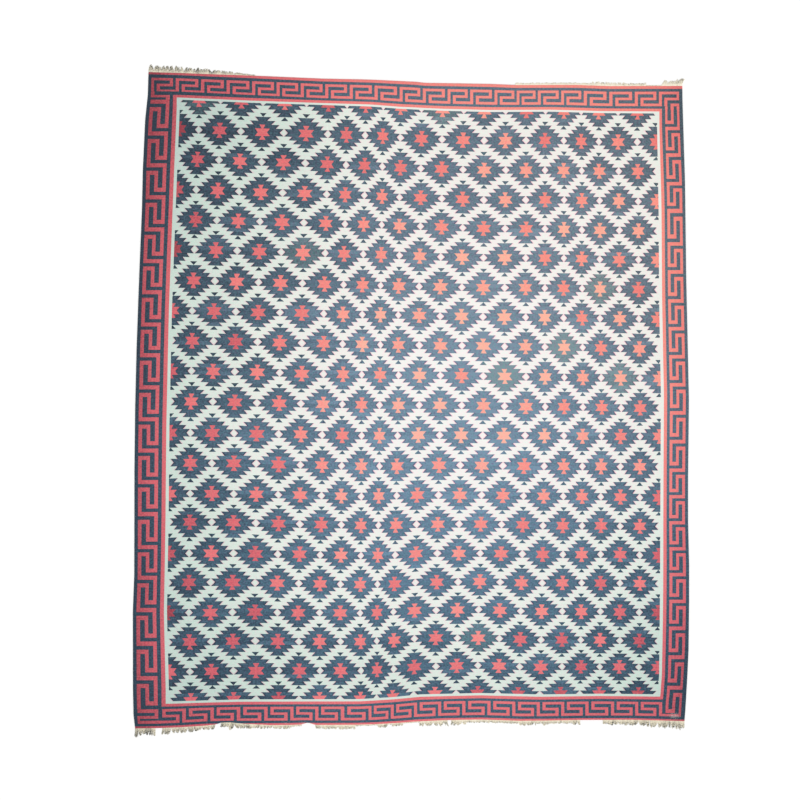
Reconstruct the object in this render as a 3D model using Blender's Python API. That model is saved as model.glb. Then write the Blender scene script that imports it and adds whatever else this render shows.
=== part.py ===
"""Hand-woven cotton dhurrie lying flat, with the worn warp fringe at its two ends.

The cloth is one flat solid with the uneven outline that a hand loom and long use give.
Each end has its own fringe: a narrow backing strip just off the cloth, from which the
cut locks of warp run out flat on the floor. Metres, +Z up: the rug rests on z = 0, its
length runs along Y and its width along X.
"""

import random
from collections import namedtuple

import bmesh
import bpy
from mathutils import Vector

RUG_NAME = "dhurrie_rug"

# The cloth
CLOTH_THICKNESS = 0.004

# The fringe: a backing strip parted from the cloth, and the locks on it
PARTING = 0.0003
STRIP_WIDTH = 0.005
STRIP_THICKNESS = 0.003
LOCK_PITCH = 0.0154
ROOT_WIDTH = 0.0092
MIDDLE_WIDTH = 0.0076
TIP_WIDTH = 0.0042
TIP_THICKNESS = 0.0016
LENGTH_SPREAD = 0.2
TIP_WANDER = 0.0026
FAR_SEED = 7
NEAR_SEED = 19

# Colours (linear) and finish of the two yarns
FADED_WEFT = (0.26, 0.27, 0.27, 1.0)
CREAM_WARP = (0.63, 0.56, 0.37, 1.0)
WEFT_ROUGHNESS = 0.92
WARP_ROUGHNESS = 0.88

# The two selvedges, from the far end to the near one, with their ends at the corners
Selvedge = namedtuple("Selvedge", "x y")
LEFT_SELVEDGE = [
    Selvedge(-1.472, 1.707),
    Selvedge(-1.487, 1.567),
    Selvedge(-1.500, 1.287),
    Selvedge(-1.505, 1.063),
    Selvedge(-1.523, 0.615),
    Selvedge(-1.535, 0.279),
    Selvedge(-1.543, -0.057),
    Selvedge(-1.547, -0.393),
    Selvedge(-1.548, -0.980),
    Selvedge(-1.556, -1.188),
    Selvedge(-1.555, -1.625),
    Selvedge(-1.552, -1.765),
]
RIGHT_SELVEDGE = [
    Selvedge(1.521, 1.680),
    Selvedge(1.530, 1.388),
    Selvedge(1.535, 1.231),
    Selvedge(1.542, 0.671),
    Selvedge(1.546, 0.503),
    Selvedge(1.557, -0.001),
    Selvedge(1.552, -0.449),
    Selvedge(1.552, -0.673),
    Selvedge(1.558, -0.925),
    Selvedge(1.558, -1.121),
    Selvedge(1.555, -1.401),
    Selvedge(1.547, -1.569),
    Selvedge(1.537, -1.737),
]

# The two ends, from left to right. Each row is a point of the cloth's edge, and the
# locks from there to the next row: their length at the row, their length at the next
# one (0 for a bare stretch), and how far their tips lean to the right.
EndRow = namedtuple("EndRow", "x y length_here length_next lean")
FAR_END = [
    EndRow(-1.468, 1.835, 0.046, 0.037, 0.000),
    EndRow(-1.292, 1.830, 0.037, 0.028, 0.001),
    EndRow(-1.091, 1.822, 0.027, 0.009, 0.001),
    EndRow(-0.920, 1.816, 0.000, 0.000, 0.000),
    EndRow(-0.497, 1.798, 0.000, 0.000, 0.000),
    EndRow(-0.228, 1.792, 0.000, 0.000, 0.000),
    EndRow(0.029, 1.780, 0.000, 0.000, 0.000),
    EndRow(0.080, 1.774, 0.000, 0.000, 0.000),
    EndRow(0.444, 1.768, 0.000, 0.000, 0.000),
    EndRow(0.584, 1.762, 0.010, 0.014, 0.001),
    EndRow(0.920, 1.763, 0.021, 0.018, 0.000),
    EndRow(1.116, 1.756, 0.019, 0.010, 0.000),
    EndRow(1.312, 1.757, 0.000, 0.000, 0.000),
    EndRow(1.410, 1.757, 0.028, 0.036, 0.009),
    EndRow(1.472, 1.757, 0.038, 0.036, 0.034),
    EndRow(1.520, 1.757, 0.000, 0.000, 0.000),
]
NEAR_END = [
    EndRow(-1.543, -1.840, 0.044, 0.046, 0.001),
    EndRow(-1.424, -1.838, 0.000, 0.000, 0.000),
    EndRow(-1.392, -1.837, 0.036, 0.034, -0.001),
    EndRow(-1.292, -1.833, 0.034, 0.030, 0.001),
    EndRow(-1.152, -1.824, 0.029, 0.022, 0.001),
    EndRow(-1.091, -1.817, 0.000, 0.000, 0.000),
    EndRow(-1.062, -1.807, 0.030, 0.046, -0.001),
    EndRow(-1.004, -1.806, 0.044, 0.026, 0.001),
    EndRow(-0.956, -1.812, 0.026, 0.024, 0.001),
    EndRow(-0.788, -1.821, 0.027, 0.020, 0.000),
    EndRow(-0.676, -1.820, 0.014, 0.009, 0.000),
    EndRow(-0.612, -1.818, 0.000, 0.000, 0.000),
    EndRow(-0.585, -1.809, 0.000, 0.000, 0.000),
    EndRow(-0.565, -1.809, 0.000, 0.000, 0.000),
    EndRow(-0.535, -1.820, 0.021, 0.027, 0.000),
    EndRow(-0.312, -1.819, 0.009, 0.010, 0.000),
    EndRow(-0.200, -1.816, 0.024, 0.020, 0.001),
    EndRow(-0.060, -1.808, 0.000, 0.000, 0.000),
    EndRow(0.026, -1.801, 0.026, 0.034, 0.001),
    EndRow(0.198, -1.793, 0.000, 0.000, 0.000),
    EndRow(0.231, -1.792, 0.025, 0.018, 0.001),
    EndRow(0.388, -1.790, 0.014, 0.012, 0.000),
    EndRow(0.500, -1.793, 0.024, 0.032, 0.000),
    EndRow(0.612, -1.797, 0.030, 0.022, 0.000),
    EndRow(0.780, -1.795, 0.020, 0.030, 0.001),
    EndRow(0.945, -1.792, 0.000, 0.000, 0.000),
    EndRow(1.074, -1.791, 0.026, 0.030, 0.000),
    EndRow(1.228, -1.791, 0.030, 0.034, 0.001),
    EndRow(1.396, -1.795, 0.036, 0.046, -0.001),
    EndRow(1.532, -1.799, 0.000, 0.000, 0.000),
]

Lock = namedtuple("Lock", "start end length lean")


def clear_scene():
    """Remove every object of the open scene."""
    for thing in list(bpy.data.objects):
        bpy.data.objects.remove(thing, do_unlink=True)


def yarn_material(name, colour, roughness):
    """A matt Principled material for one yarn."""
    material = bpy.data.materials.new(name)
    material.use_nodes = True
    shader = material.node_tree.nodes["Principled BSDF"]
    shader.inputs["Base Color"].default_value = colour
    shader.inputs["Roughness"].default_value = roughness
    shader.inputs["Metallic"].default_value = 0.0
    return material


def cloth_outline():
    """Corners of the cloth seen from above, in order round its edge."""
    far = [(row.x, row.y) for row in FAR_END]
    right = [(point.x, point.y) for point in RIGHT_SELVEDGE]
    near = [(row.x, row.y) for row in reversed(NEAR_END)]
    left = [(point.x, point.y) for point in reversed(LEFT_SELVEDGE)]
    return far + right + near + left


def make_cloth(collection, material):
    """The woven cloth: its outline as a filled flat curve, as thick as the weave."""
    curve = bpy.data.curves.new("cloth", "CURVE")
    curve.dimensions = "2D"
    curve.fill_mode = "BOTH"
    curve.extrude = CLOTH_THICKNESS / 2
    outline = cloth_outline()
    spline = curve.splines.new("POLY")
    spline.points.add(len(outline) - 1)
    for point, (x, y) in zip(spline.points, outline):
        point.co = (x, y, 0.0, 1.0)
    spline.use_cyclic_u = True
    curve.materials.append(material)
    cloth = bpy.data.objects.new("cloth", curve)
    cloth.location.z = CLOTH_THICKNESS / 2
    collection.objects.link(cloth)
    return cloth


def lay_out_locks(rows, seed):
    """Place the locks of one end between its rows, each a little uneven in length."""
    draw = random.Random(seed)
    locks = []
    for here, after in zip(rows, rows[1:]):
        if not here.length_here:
            continue
        count = round((after.x - here.x) / LOCK_PITCH)
        for number in range(count):
            share = (number + 0.5) / count
            middle = here.x + share * (after.x - here.x)
            length = here.length_here + share * (here.length_next - here.length_here)
            length *= 1 + draw.uniform(-LENGTH_SPREAD, LENGTH_SPREAD)
            lean = here.lean + draw.uniform(-TIP_WANDER, TIP_WANDER)
            locks.append(Lock(middle - ROOT_WIDTH / 2, middle + ROOT_WIDTH / 2, length, lean))
    return locks


def edge_y(rows, x):
    """Where one end's cloth edge lies along Y, at x."""
    for here, after in zip(rows, rows[1:]):
        if x <= after.x:
            share = (x - here.x) / (after.x - here.x)
            return here.y + share * (after.y - here.y)
    return rows[-1].y


def backing_strip(bm, rows, stations, outward):
    """Widen a line along the cloth's edge to the strip, and raise it to its thickness."""
    line = [
        bm.verts.new((x, edge_y(rows, x) + outward * PARTING, 0.0)) for x in stations
    ]
    edges = [bm.edges.new(pair) for pair in zip(line, line[1:])]
    widened = bmesh.ops.extrude_edge_only(bm, edges=edges)["geom"]
    outer = [part for part in widened if isinstance(part, bmesh.types.BMVert)]
    bmesh.ops.translate(bm, verts=outer, vec=(0.0, outward * STRIP_WIDTH, 0.0))
    raised = bmesh.ops.extrude_face_region(bm, geom=list(bm.faces), use_keep_orig=True)
    upper = [part for part in raised["geom"] if isinstance(part, bmesh.types.BMVert)]
    bmesh.ops.translate(bm, verts=upper, vec=(0.0, 0.0, STRIP_THICKNESS))
    bmesh.ops.recalc_face_normals(bm, faces=list(bm.faces))


def outer_faces(bm, outward):
    """Faces of the strip that look away from the cloth, from left to right."""
    away = Vector((0.0, outward, 0.0))
    faces = [face for face in bm.faces if face.normal.dot(away) > 0.5]
    return sorted(faces, key=lambda face: face.calc_center_median().x)


def draw_out(bm, face, reach, width, thickness, lean):
    """Extrude the end of a lock by reach, to a new width, thickness and sideways lean."""
    end = bmesh.ops.extrude_discrete_faces(bm, faces=[face])["faces"][0]
    left = min(vert.co.x for vert in end.verts)
    right = max(vert.co.x for vert in end.verts)
    top = max(vert.co.z for vert in end.verts)
    middle = (left + right) / 2
    level = sum(vert.co.y for vert in end.verts) / len(end.verts)
    for vert in end.verts:
        across = (vert.co.x - middle) / (right - left)
        vert.co.x = middle + across * width + lean
        vert.co.y = level + reach
        vert.co.z *= thickness / top
    return end


def make_fringe(name, rows, outward, seed, collection, material):
    """One fringe: its backing strip, with a four-sided lock drawn out of each root."""
    locks = lay_out_locks(rows, seed)
    roots = {lock.start: lock for lock in locks}
    corners = [row.x for row in rows]
    stations = sorted(set(corners) | set(roots) | {lock.end for lock in locks})
    bm = bmesh.new()
    backing_strip(bm, rows, stations, outward)
    for start, face in zip(stations, outer_faces(bm, outward)):
        if start not in roots:
            continue
        lock = roots[start]
        half = outward * lock.length / 2
        thickness = (STRIP_THICKNESS + TIP_THICKNESS) / 2
        middle = draw_out(bm, face, half, MIDDLE_WIDTH, thickness, lock.lean / 3)
        draw_out(bm, middle, half, TIP_WIDTH, TIP_THICKNESS, lock.lean * 2 / 3)
    mesh = bpy.data.meshes.new(name)
    bm.to_mesh(mesh)
    bm.free()
    mesh.materials.append(material)
    fringe = bpy.data.objects.new(name, mesh)
    collection.objects.link(fringe)
    return fringe


def centre_on_origin(pieces):
    """Shift all pieces together so that the origin is under the middle of the rug."""
    bpy.context.view_layer.update()
    corners = [
        piece.matrix_world @ Vector(corner) for piece in pieces for corner in piece.bound_box
    ]
    middle_x = (min(c.x for c in corners) + max(c.x for c in corners)) / 2
    middle_y = (min(c.y for c in corners) + max(c.y for c in corners)) / 2
    for piece in pieces:
        piece.location.x -= middle_x
        piece.location.y -= middle_y


def main():
    """Build the rug in a collection of its own."""
    clear_scene()
    rug = bpy.data.collections.new(RUG_NAME)
    bpy.context.scene.collection.children.link(rug)
    weft = yarn_material("faded_weft", FADED_WEFT, WEFT_ROUGHNESS)
    warp = yarn_material("cream_warp", CREAM_WARP, WARP_ROUGHNESS)
    pieces = [
        make_cloth(rug, weft),
        make_fringe("fringe_far", FAR_END, 1, FAR_SEED, rug, warp),
        make_fringe("fringe_near", NEAR_END, -1, NEAR_SEED, rug, warp),
    ]
    centre_on_origin(pieces)


main()
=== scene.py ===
"""Looks of a hand-woven cotton dhurrie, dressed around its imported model.

The weaver's chart is worked out first: the four edges of the cloth, the frames and the
key bands inside them, and the columns and rows of medallions, each as uneven as the hand
loom left it. The cloth is a thin closed sheet whose mesh follows that chart, so its
pattern is woven by the material from chart coordinates and is the same on both faces.
The two worn fringes are strands of cut warp. Metres, +Z up, +Y towards the far end.
"""

import logging
import math
import random
from collections.abc import Callable
from dataclasses import dataclass
from enum import Enum

import bmesh
import bpy
import numpy as np
from mathutils import Euler, Matrix, Vector, noise


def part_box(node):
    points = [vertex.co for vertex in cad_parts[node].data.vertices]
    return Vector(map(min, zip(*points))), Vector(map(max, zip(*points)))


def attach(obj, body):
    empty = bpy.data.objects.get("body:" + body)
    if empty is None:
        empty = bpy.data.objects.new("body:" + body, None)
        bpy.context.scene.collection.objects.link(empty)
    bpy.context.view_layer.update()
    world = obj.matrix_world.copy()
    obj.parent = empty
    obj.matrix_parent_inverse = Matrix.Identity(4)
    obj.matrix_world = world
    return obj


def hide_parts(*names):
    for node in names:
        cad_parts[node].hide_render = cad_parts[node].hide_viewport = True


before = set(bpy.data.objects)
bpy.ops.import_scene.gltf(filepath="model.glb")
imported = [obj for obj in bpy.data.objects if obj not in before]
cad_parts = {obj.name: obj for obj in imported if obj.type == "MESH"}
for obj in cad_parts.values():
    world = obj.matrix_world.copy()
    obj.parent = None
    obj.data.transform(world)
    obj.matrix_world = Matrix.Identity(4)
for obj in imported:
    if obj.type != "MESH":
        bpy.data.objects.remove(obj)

BODY = "root"
MILLIMETRE = 0.001
HALF_COLUMNS = 24
HALF_ROWS = 20

log = logging.getLogger("dhurrie")


@dataclass(frozen=True)
class Point:
    """A place on the plan of the rug, before it is centred on the floor."""

    x: float
    y: float


@dataclass(frozen=True)
class EdgePoint:
    """A point of one end's edge, and whether it is there only because the edge is worn in."""

    x: float
    y: float
    worn: bool = False


@dataclass(frozen=True)
class Run:
    """A run of fringe: from and to in metres, its first and last lengths and lean in millimetres."""

    start: float
    stop: float
    first: int
    last: int
    lean: int = 0


@dataclass(frozen=True)
class ColumnWidth:
    """Millimetres across one column of medallions, at three places along the rug."""

    far: int
    middle: int
    near: int


@dataclass(frozen=True)
class RowDepth:
    """Millimetres along one half-row of medallions, at three places across the rug."""

    left: int
    middle: int
    right: int


@dataclass(frozen=True)
class Layers:
    """Millimetres across the layers of one border, from the edge of the cloth inwards."""

    end_stripe: int
    outer_navy: int
    key: int
    inner_navy: int
    red: int
    ivory: int

    def cumulative(self) -> list[float]:
        """Share of the border's width where each layer starts, then 1."""
        widths = [self.end_stripe, self.outer_navy, self.key, self.inner_navy, self.red, self.ivory]
        return [sum(widths[:count]) / sum(widths) for count in range(len(widths) + 1)]


LEFT_SELVEDGE = [
    Point(-1.468, 1.835), Point(-1.472, 1.707), Point(-1.487, 1.567), Point(-1.500, 1.287),
    Point(-1.505, 1.063), Point(-1.523, 0.615), Point(-1.535, 0.279), Point(-1.543, -0.057),
    Point(-1.547, -0.393), Point(-1.548, -0.980), Point(-1.556, -1.188), Point(-1.555, -1.625),
    Point(-1.552, -1.765), Point(-1.543, -1.840),
]
RIGHT_SELVEDGE = [
    Point(1.520, 1.757), Point(1.521, 1.680), Point(1.530, 1.388), Point(1.535, 1.231),
    Point(1.542, 0.671), Point(1.546, 0.503), Point(1.557, -0.001), Point(1.552, -0.449),
    Point(1.552, -0.673), Point(1.558, -0.925), Point(1.558, -1.121), Point(1.555, -1.401),
    Point(1.547, -1.569), Point(1.537, -1.737), Point(1.532, -1.799),
]
FAR_END = [
    EdgePoint(-1.468, 1.835), EdgePoint(-1.292, 1.830), EdgePoint(-1.091, 1.822),
    EdgePoint(-0.920, 1.816), EdgePoint(-0.497, 1.798), EdgePoint(-0.228, 1.792),
    EdgePoint(0.029, 1.780), EdgePoint(0.080, 1.774), EdgePoint(0.444, 1.768),
    EdgePoint(0.584, 1.762), EdgePoint(0.920, 1.763), EdgePoint(1.116, 1.756),
    EdgePoint(1.312, 1.757), EdgePoint(1.520, 1.757),
]
NEAR_END = [
    EdgePoint(-1.543, -1.840), EdgePoint(-1.424, -1.838), EdgePoint(-1.392, -1.837),
    EdgePoint(-1.292, -1.833), EdgePoint(-1.152, -1.824), EdgePoint(-1.091, -1.817, worn=True),
    EdgePoint(-1.062, -1.807, worn=True), EdgePoint(-1.004, -1.806, worn=True),
    EdgePoint(-0.956, -1.812, worn=True), EdgePoint(-0.788, -1.821), EdgePoint(-0.676, -1.820),
    EdgePoint(-0.612, -1.818), EdgePoint(-0.585, -1.809, worn=True),
    EdgePoint(-0.565, -1.809, worn=True), EdgePoint(-0.535, -1.820), EdgePoint(-0.312, -1.819),
    EdgePoint(-0.200, -1.816), EdgePoint(-0.060, -1.808), EdgePoint(0.026, -1.801),
    EdgePoint(0.198, -1.793), EdgePoint(0.388, -1.790), EdgePoint(0.500, -1.793),
    EdgePoint(0.612, -1.797), EdgePoint(0.780, -1.795), EdgePoint(0.945, -1.792),
    EdgePoint(1.228, -1.791), EdgePoint(1.396, -1.795), EdgePoint(1.532, -1.799),
]
FAR_RUNS = [
    Run(-1.468, -1.451, 55, 48, 2),
    Run(-1.451, -1.292, 38, 39),
    Run(-1.292, -1.205, 36, 29),
    Run(-1.205, -1.081, 31, 27),
    Run(-1.081, -0.988, 24, 18),
    Run(-0.988, -0.870, 16, 5),
    Run(0.584, 1.015, 13, 15),
    Run(1.015, 1.200, 25, 22),
    Run(1.200, 1.317, 16, 18),
    Run(1.317, 1.405, 6, 5),
    Run(1.405, 1.470, 30, 31, 8),
    Run(1.470, 1.520, 45, 48, 25),
]
NEAR_RUNS = [
    Run(-1.543, -1.505, 51, 47, 2),
    Run(-1.505, -1.462, 38, 36),
    Run(-1.462, -1.430, 44, 54, 2),
    Run(-1.390, -1.340, 43, 36, -2),
    Run(-1.340, -1.200, 31, 34),
    Run(-1.200, -1.094, 25, 27),
    Run(-1.062, -1.018, 26, 30),
    Run(-1.018, -0.990, 48, 40, -3),
    Run(-0.990, -0.820, 29, 25),
    Run(-0.820, -0.676, 20, 24),
    Run(-0.676, -0.612, 16, 9),
    Run(-0.535, -0.312, 25, 28),
    Run(-0.312, -0.186, 9, 8),
    Run(-0.186, -0.130, 22, 25),
    Run(-0.130, -0.102, 8, 8),
    Run(-0.102, -0.045, 23, 18),
    Run(-0.045, 0.050, 6, 7),
    Run(0.050, 0.205, 27, 35),
    Run(0.228, 0.315, 35, 27),
    Run(0.315, 0.600, 18, 20),
    Run(0.600, 0.701, 29, 27),
    Run(0.701, 0.746, 20, 21),
    Run(0.746, 0.765, 33, 30),
    Run(0.765, 0.900, 22, 21),
    Run(0.900, 0.948, 27, 33, 1),
    Run(1.076, 1.233, 31, 32),
    Run(1.233, 1.340, 35, 36),
    Run(1.340, 1.480, 40, 42, -1),
    Run(1.480, 1.532, 50, 44, -3),
]

FIELD_LEFT = [
    Point(-1.294, 1.612), Point(-1.311, 1.203), Point(-1.324, 0.867), Point(-1.337, 0.503),
    Point(-1.351, -0.141), Point(-1.356, -0.673), Point(-1.365, -1.188), Point(-1.359, -1.429),
    Point(-1.354, -1.625),
]
FIELD_RIGHT = [
    Point(1.379, 1.511), Point(1.387, 1.063), Point(1.390, 0.559), Point(1.396, 0.220),
    Point(1.400, 0.030), Point(1.398, -0.337), Point(1.395, -1.065), Point(1.390, -1.540),
    Point(1.382, -1.650), Point(1.375, -1.700),
]
FIELD_FAR = [
    Point(-1.292, 1.680), Point(-0.900, 1.663), Point(-0.228, 1.642), Point(-0.060, 1.629),
    Point(0.176, 1.618), Point(0.444, 1.611), Point(0.780, 1.613), Point(1.060, 1.605),
    Point(1.368, 1.603),
]
FIELD_NEAR = [
    Point(-1.348, -1.688), Point(-0.956, -1.677), Point(-0.284, -1.675), Point(-0.100, -1.664),
    Point(0.052, -1.649), Point(0.388, -1.641), Point(0.724, -1.649), Point(1.060, -1.645),
    Point(1.368, -1.648),
]

LEFT_LAYERS = Layers(0, 19, 112, 20, 22, 17)
RIGHT_LAYERS = Layers(0, 17, 90, 15, 18, 17)
RIGHT_LAYERS_FAR = Layers(0, 17, 88, 15, 15, 12)
RIGHT_LAYERS_NEAR = Layers(0, 18, 89, 15, 17, 14)
FAR_LAYERS = Layers(16, 15, 81, 13, 15, 11)
FAR_LAYERS_LEFT = Layers(10, 19, 81, 14, 15, 12)
NEAR_LAYERS = Layers(11, 14, 80, 13, 16, 13)
NEAR_LAYERS_RIGHT = Layers(7, 15, 82, 13, 16, 13)

COLUMN_WIDTHS = [
    ColumnWidth(108, 117, 121),
    ColumnWidth(238, 245, 242),
    ColumnWidth(241, 250, 252),
    ColumnWidth(246, 246, 230),
    ColumnWidth(208, 216, 232),
    ColumnWidth(196, 204, 176),
    ColumnWidth(234, 234, 238),
    ColumnWidth(234, 243, 237),
    ColumnWidth(235, 239, 230),
    ColumnWidth(210, 214, 239),
    ColumnWidth(193, 208, 212),
    ColumnWidth(217, 216, 221),
    ColumnWidth(111, 116, 111),
]
ROW_DEPTHS = [
    RowDepth(163, 162, 161),
    RowDepth(164, 169, 165),
    RowDepth(174, 166, 167),
    RowDepth(165, 160, 166),
    RowDepth(167, 167, 162),
    RowDepth(175, 172, 165),
    RowDepth(169, 163, 167),
    RowDepth(167, 167, 166),
    RowDepth(169, 170, 166),
    RowDepth(171, 168, 167),
    RowDepth(175, 170, 158),
    RowDepth(167, 171, 171),
    RowDepth(174, 167, 172),
    RowDepth(156, 164, 161),
    RowDepth(177, 167, 161),
    RowDepth(161, 161, 160),
    RowDepth(171, 157, 161),
    RowDepth(162, 158, 161),
    RowDepth(168, 161, 146),
    RowDepth(162, 157, 151),
]
LEFT_STATION = -1.236
MIDDLE_STATION = -0.060
RIGHT_STATION = 1.312
FAR_STATION = 1.650
NEAR_STATION = -1.660

# Where the first unit of each key band starts, and how many millimetres each unit takes
FAR_KEY_START = -1.455
FAR_KEY_UNITS = [139, 142, 143, 143, 137, 135, 137, 137, 139, 141, 129, 139, 126, 137, 124, 118,
                 131, 126, 143, 143, 135, 130]
NEAR_KEY_START = -1.425
NEAR_KEY_UNITS = [146, 158, 147, 154, 146, 139, 143, 156, 124, 130, 135, 135, 141, 139, 137, 137,
                  135, 144, 135, 133, 142]
LEFT_KEY_START = 1.680
LEFT_KEY_UNITS = [178, 178, 179, 180, 178, 173, 182, 171, 180, 179, 175, 176, 179, 186, 171, 180,
                  188, 194, 184]
RIGHT_KEY_START = 1.676
RIGHT_KEY_UNITS = [148, 148, 161, 150, 187, 156, 163, 155, 157, 157, 157, 161, 161, 148, 146, 146,
                   144, 150, 150, 161, 171, 171]


class Band(Enum):
    """One of the four key bands, by where its units start in the common count."""

    FAR = 0
    NEAR = 100
    LEFT = 200
    RIGHT = 300


def curve(points: list[Point | EdgePoint], along_x: bool) -> Callable[[np.ndarray], np.ndarray]:
    """Straight runs between points, as a function.

    Args:
        points: The points, in either order along the run.
        along_x: Whether the run is read by x, as an end is, or by y, as a selvedge is.

    Returns:
        A function from places along the run to places across it.
    """
    pairs = sorted((p.x, p.y) if along_x else (p.y, p.x) for p in points)
    along, across = np.array(pairs).T
    return lambda places: np.interp(places, along, across)


def unit_count(start: float, units: list[int], heading: int, places: np.ndarray) -> np.ndarray:
    """How many units of a key band lie before each place.

    Args:
        start: Where the band's first unit starts.
        units: Millimetres that each unit takes.
        heading: 1 where the units follow the axis, and -1 where they run against it.
        places: Where to count, along the same axis.

    Returns:
        The counts, with the first and last unit carried on past their ends.
    """
    lengths = np.array(units) * MILLIMETRE
    ends = np.concatenate([[-lengths[0]], [0.0], np.cumsum(lengths)])
    ends = np.append(ends, ends[-1] + lengths[-1])
    counts = np.arange(-1, len(units) + 2)
    return np.interp((places - start) * heading, ends, counts)


@dataclass
class Chart:
    """The weaver's chart on the plan of the rug: where each column and row really lies.

    Across the rug, c runs from 0 to 1 over the left border, to 25 over the 24
    half-columns of the field, and to 26 over the right border. Along it, r runs from 0
    to 1 over the far border, to 21 over the 20 half-rows, and to 22 over the near one.
    """

    half_columns: int = HALF_COLUMNS
    half_rows: int = HALF_ROWS
    past_left: float = 0.045
    past_right: float = 0.09
    cut_far: float = 0.045
    wear_depth: float = 0.030
    rounds: int = 5
    corner_end: float = 0.5
    corner_end_reach: float = 0.9
    corner_far: float = 1.15
    corner_far_reach: float = 0.40
    corner_near: float = 1.25
    corner_near_reach: float = 0.35

    def __post_init__(self) -> None:
        """Work out the curves and shares that the tables give."""
        self.left = curve(LEFT_SELVEDGE, along_x=False)
        self.right = curve(RIGHT_SELVEDGE, along_x=False)
        self.far = curve(FAR_END, along_x=True)
        self.near = curve([point for point in NEAR_END if not point.worn], along_x=True)
        self.near_worn = curve(NEAR_END, along_x=True)
        self.field_left = curve(FIELD_LEFT, along_x=False)
        self.field_right = curve(FIELD_RIGHT, along_x=False)
        self.field_far = curve(FIELD_FAR, along_x=True)
        self.field_near = curve(FIELD_NEAR, along_x=True)
        self.column_marks = [0, *range(1, self.half_columns, 2), self.half_columns]
        self.column_shares = [
            self.shares([getattr(width, place) for width in COLUMN_WIDTHS])
            for place in ("near", "middle", "far")
        ]
        self.row_shares = [
            self.shares([getattr(depth, place) for depth in ROW_DEPTHS])
            for place in ("left", "middle", "right")
        ]

    @staticmethod
    def shares(widths: list[int]) -> np.ndarray:
        """Running shares of a row of widths, from 0 to 1."""
        return np.concatenate([[0.0], np.cumsum(widths)]) / sum(widths)

    @staticmethod
    def between_stations(values: list[np.ndarray], weight: np.ndarray) -> np.ndarray:
        """Values between three stations.

        Args:
            values: The values at each station.
            weight: How far each place is along them: 0, 1 and 2 at the stations.

        Returns:
            The value at each place.
        """
        first, middle, last = values
        return np.where(
            weight < 1,
            first + (middle - first) * weight,
            middle + (last - middle) * (weight - 1),
        )

    def across(self, c: np.ndarray, y: np.ndarray) -> np.ndarray:
        """Where column lines lie across the rug.

        Args:
            c: The column lines.
            y: The place along the rug at which each is wanted.

        Returns:
            The x of each.
        """
        outer_left, inner_left = self.left(y), self.field_left(y)
        inner_right, outer_right = self.field_right(y), self.right(y)
        columns = np.clip(c - 1, 0, self.half_columns)
        stations = [np.interp(columns, self.column_marks, shares) for shares in self.column_shares]
        weight = np.interp(y, [NEAR_STATION, 0.0, FAR_STATION], [0.0, 1.0, 2.0])
        share = self.between_stations(stations, weight)
        field_x = inner_left + share * (inner_right - inner_left)
        left_x = outer_left + np.clip(c, 0, 1) * (inner_left - outer_left)
        past = np.clip(c - 1 - self.half_columns, 0, 1)
        right_x = inner_right + past * (outer_right - inner_right)
        return np.where(c < 1, left_x, np.where(past > 0, right_x, field_x))

    def along(self, r: np.ndarray, x: np.ndarray) -> np.ndarray:
        """Where row lines lie along the rug, before the near end is worn in.

        Args:
            r: The row lines.
            x: The place across the rug at which each is wanted.

        Returns:
            The y of each.
        """
        outer_far, inner_far = self.far(x), self.field_far(x)
        inner_near, outer_near = self.field_near(x), self.near(x)
        rows = np.clip(r - 1, 0, self.half_rows)
        marks = np.arange(self.half_rows + 1)
        stations = [np.interp(rows, marks, shares) for shares in self.row_shares]
        weight = np.interp(x, [LEFT_STATION, MIDDLE_STATION, RIGHT_STATION], [0.0, 1.0, 2.0])
        share = self.between_stations(stations, weight)
        field_y = inner_far + share * (inner_near - inner_far)
        far_y = outer_far + np.clip(r, 0, 1) * (inner_far - outer_far)
        past = np.clip(r - 1 - self.half_rows, 0, 1)
        near_y = inner_near + past * (outer_near - inner_near)
        return np.where(r < 1, far_y, np.where(past > 0, near_y, field_y))

    def place(self, c: np.ndarray, r: np.ndarray) -> tuple[np.ndarray, np.ndarray]:
        """Where column lines and row lines cross.

        Args:
            c: Column lines, one for each crossing.
            r: Row lines, one for each crossing.

        Returns:
            The x and y of each crossing, before either end is worn in.
        """
        x = self.across(c, np.zeros_like(c))
        y = self.along(r, x)
        for _ in range(self.rounds):
            x = self.across(c, y)
            y = self.along(r, x)
        return x, y

    def field_column(self, c: np.ndarray) -> np.ndarray:
        """The field's own count of half-columns.

        Args:
            c: Column lines.

        Returns:
            The count, which runs a little past the middles of the outermost medallions.
        """
        last = self.half_columns
        marks = [-1, 0, 1, last - 1, last, last + 1]
        counts = [-1, -self.past_left, 1, last - 1, last + self.past_right, last + 1]
        return np.interp(c - 1, marks, counts)

    def field_row(self, r: np.ndarray) -> np.ndarray:
        """The field's own count of half-rows; its first medallions are cut a little short."""
        last = self.half_rows + 1
        return np.interp(r - 1, [-1, 0, 1, last], [-1, self.cut_far, 1, last])

    def wear_in(self, x: np.ndarray, y: np.ndarray) -> np.ndarray:
        """Draw the near end's outer rows in to where the edge is worn away.

        Args:
            x: Places across the rug.
            y: Places along it.

        Returns:
            The places along it once the edge is worn in.
        """
        lost = self.near_worn(x) - self.near(x)
        depth = y - self.near(x)
        drawn = lost + depth * (self.wear_depth - lost) / self.wear_depth
        return np.where(depth < self.wear_depth, self.near(x) + drawn, y)

    def layer(self, depth: np.ndarray, width: np.ndarray, layers: Layers) -> np.ndarray:
        """Count the layers of one border that lie outside a place.

        Args:
            depth: How far the place is from the unworn edge.
            width: How wide the whole border is there.
            layers: The border's layers.

        Returns:
            The count: 6 at the field's edge, and more inside it.
        """
        marks = layers.cumulative()
        share = depth / width
        count = np.interp(share, marks[:-1] + [1.0], range(len(marks)))
        return np.where(share > 1, len(marks) - 1 + share - 1, count)

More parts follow.
